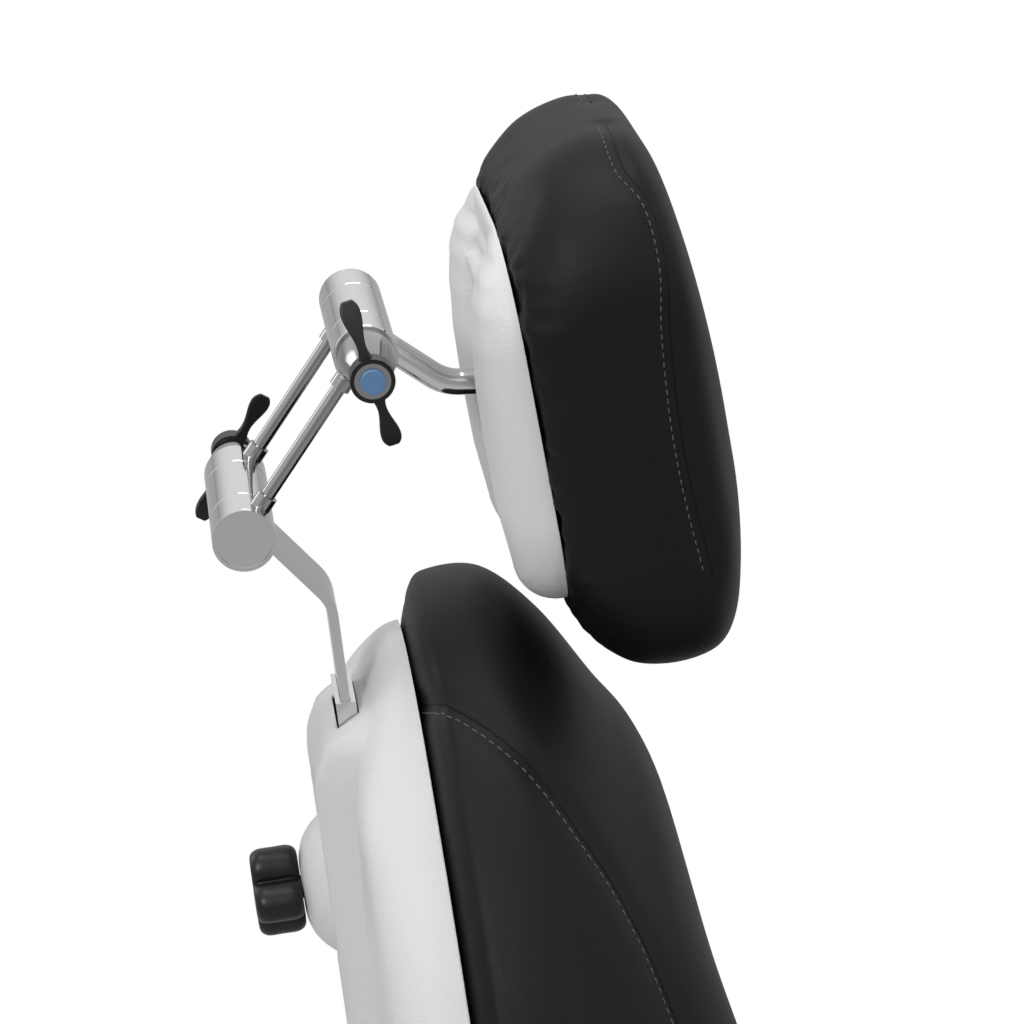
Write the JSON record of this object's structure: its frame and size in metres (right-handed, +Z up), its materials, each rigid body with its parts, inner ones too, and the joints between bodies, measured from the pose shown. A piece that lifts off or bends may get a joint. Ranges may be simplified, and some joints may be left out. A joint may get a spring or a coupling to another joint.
{
  "type": "procedure chair",
  "caption": "Upholstered procedure chair on a lifting column, with a reclining moulded back, a double-jointed headrest, a leg rest and swing-up armrests.",
  "frame": {"origin": "centre of the lifting column's axis on the underside of the base plate, at the floor", "axes": "+Z up, -Y the way the sitter faces, +X across the chair"},
  "size_m": [0.781, 1.0791, 1.5609],
  "materials": {
    "moulded_white": "fine textured white moulding",
    "white_metal": "smooth white powder coat",
    "black_leather": "black synthetic leather with a fine grain",
    "chrome": "bright chrome",
    "steel": "plain steel",
    "grey_metal": "grey powder coat",
    "bronze": "plain bearing metal",
    "grey_plastic": "light grey moulding",
    "black_plastic": "black moulding with a satin shine",
    "blue_plastic": "light blue cap",
    "rubber": "black rubber"
  },
  "bodies": {
    "base": {"base_plate": "grey_metal", "base_cover": "moulded_white", "column_outer": "white_metal", "collar_lower": "grey_plastic", "foot_bolts": "steel", "lift_motor": "grey_metal", "control_box": "moulded_white", "inlet_unit": "black_plastic"},
    "rocker": {"rocker": "black_plastic"},
    "column_mid": {"column_middle": "white_metal", "collar_upper": "grey_plastic", "lift_stage": "steel"},
    "seat": {"column_inner": "white_metal", "seat_bolts": "steel", "lift_rod": "steel", "seat_frame": "grey_metal", "side_plates": "grey_metal", "hinge_bushes": "bronze", "hinge_drives": "grey_plastic", "seat_tray": "moulded_white", "seat_cushion": "black_leather", "arm_posts": "grey_metal", "arm_pins": "steel"},
    "back": {"back_shaft": "steel", "back_frame": "grey_metal", "back_shell": "moulded_white", "back_cushion": "black_leather", "bar_guide": "steel", "bar_collar": "chrome", "clamp_nut": "steel"},
    "knob": {"clamp_knob": "black_plastic", "clamp_screw": "steel"},
    "bar": {"headrest_bar": "chrome", "lower_hub": "chrome"},
    "link": {"link_rods": "chrome", "link_ends": "chrome", "end_caps": "chrome", "clamp_bolts": "steel"},
    "headrest": {"headrest_tube": "chrome", "upper_hub": "chrome", "headrest_shell": "moulded_white", "head_plate": "grey_metal", "headrest_cushion": "black_leather"},
    "upper_lever": {"upper_lever_hub": "chrome", "upper_lever_wings": "black_plastic", "upper_lever_cap": "blue_plastic"},
    "lower_lever": {"lower_lever_hub": "chrome", "lower_lever_wings": "black_plastic", "lower_lever_cap": "black_plastic"},
    "leg": {"leg_shaft": "steel", "leg_frame": "grey_metal", "leg_shell": "moulded_white", "leg_cushion": "black_leather"},
    "foot": {"foot_bars": "steel", "foot_plate": "grey_metal", "foot_pad": "rubber"},
    "arm_left": {"arm_bar_left": "grey_metal", "arm_pad_left": "black_leather"},
    "arm_right": {"arm_bar_right": "grey_metal", "arm_pad_right": "black_leather"}
  },
  "joints": [
    {"name": "lift", "type": "slide", "parent": "base", "child": "seat", "axis": [0, 0, 1], "range_m": [-0.05, 0.25]},
    {"name": "stage_slide", "type": "slide", "parent": "base", "child": "column_mid", "axis": [0, 0, 1], "range_m": [-0.025, 0.125]},
    {"name": "rocker_tilt", "type": "hinge", "parent": "base", "child": "rocker", "pos_m": [0, 0.141, 0.1445], "axis": [1, 0, 0], "range_deg": [-8, 8]},
    {"name": "recline", "type": "hinge", "parent": "seat", "child": "back", "pos_m": [0, 0.156, 0.546], "axis": [-1, 0, 0], "range_deg": [-4, 74]},
    {"name": "knob_turn", "type": "hinge", "parent": "back", "child": "knob", "pos_m": [0, 0.37878, 1.07401], "axis": [0, 0.9935, -0.1142], "continuous": true},
    {"name": "headrest_height", "type": "slide", "parent": "back", "child": "bar", "axis": [0, 0.1142, 0.9935], "range_m": [0, 0.12]},
    {"name": "link_swing", "type": "hinge", "parent": "bar", "child": "link", "pos_m": [0, 0.42975, 1.32553], "axis": [1, 0, 0], "range_deg": [-40, 0]},
    {"name": "headrest_tilt", "type": "hinge", "parent": "link", "child": "headrest", "pos_m": [0, 0.35666, 1.43533], "axis": [1, 0, 0], "range_deg": [-30, 0]},
    {"name": "upper_lever_turn", "type": "hinge", "parent": "link", "child": "upper_lever", "pos_m": [0, 0.35666, 1.43533], "axis": [-1, 0, 0], "range_deg": [-90, 90]},
    {"name": "lower_lever_turn", "type": "hinge", "parent": "link", "child": "lower_lever", "pos_m": [0, 0.42975, 1.32553], "axis": [1, 0, 0], "range_deg": [-90, 90]},
    {"name": "leg_swing", "type": "hinge", "parent": "seat", "child": "leg", "pos_m": [0, -0.405, 0.546], "axis": [-1, 0, 0], "range_deg": [0, 76]},
    {"name": "foot_slide", "type": "slide", "parent": "leg", "child": "foot", "axis": [0, -0.2419, -0.9703], "range_m": [0, 0.1]},
    {"name": "arm_swing_left", "type": "hinge", "parent": "seat", "child": "arm_left", "pos_m": [-0.3015, 0.01, 0.688], "axis": [-1, 0, 0], "range_deg": [0, 90]},
    {"name": "arm_swing_right", "type": "hinge", "parent": "seat", "child": "arm_right", "pos_m": [0.3015, 0.01, 0.688], "axis": [-1, 0, 0], "range_deg": [0, 90]}
  ],
  "couplings": [
    {"joint": "stage_slide", "follows": "lift", "ratio": 0.5}
  ]
}
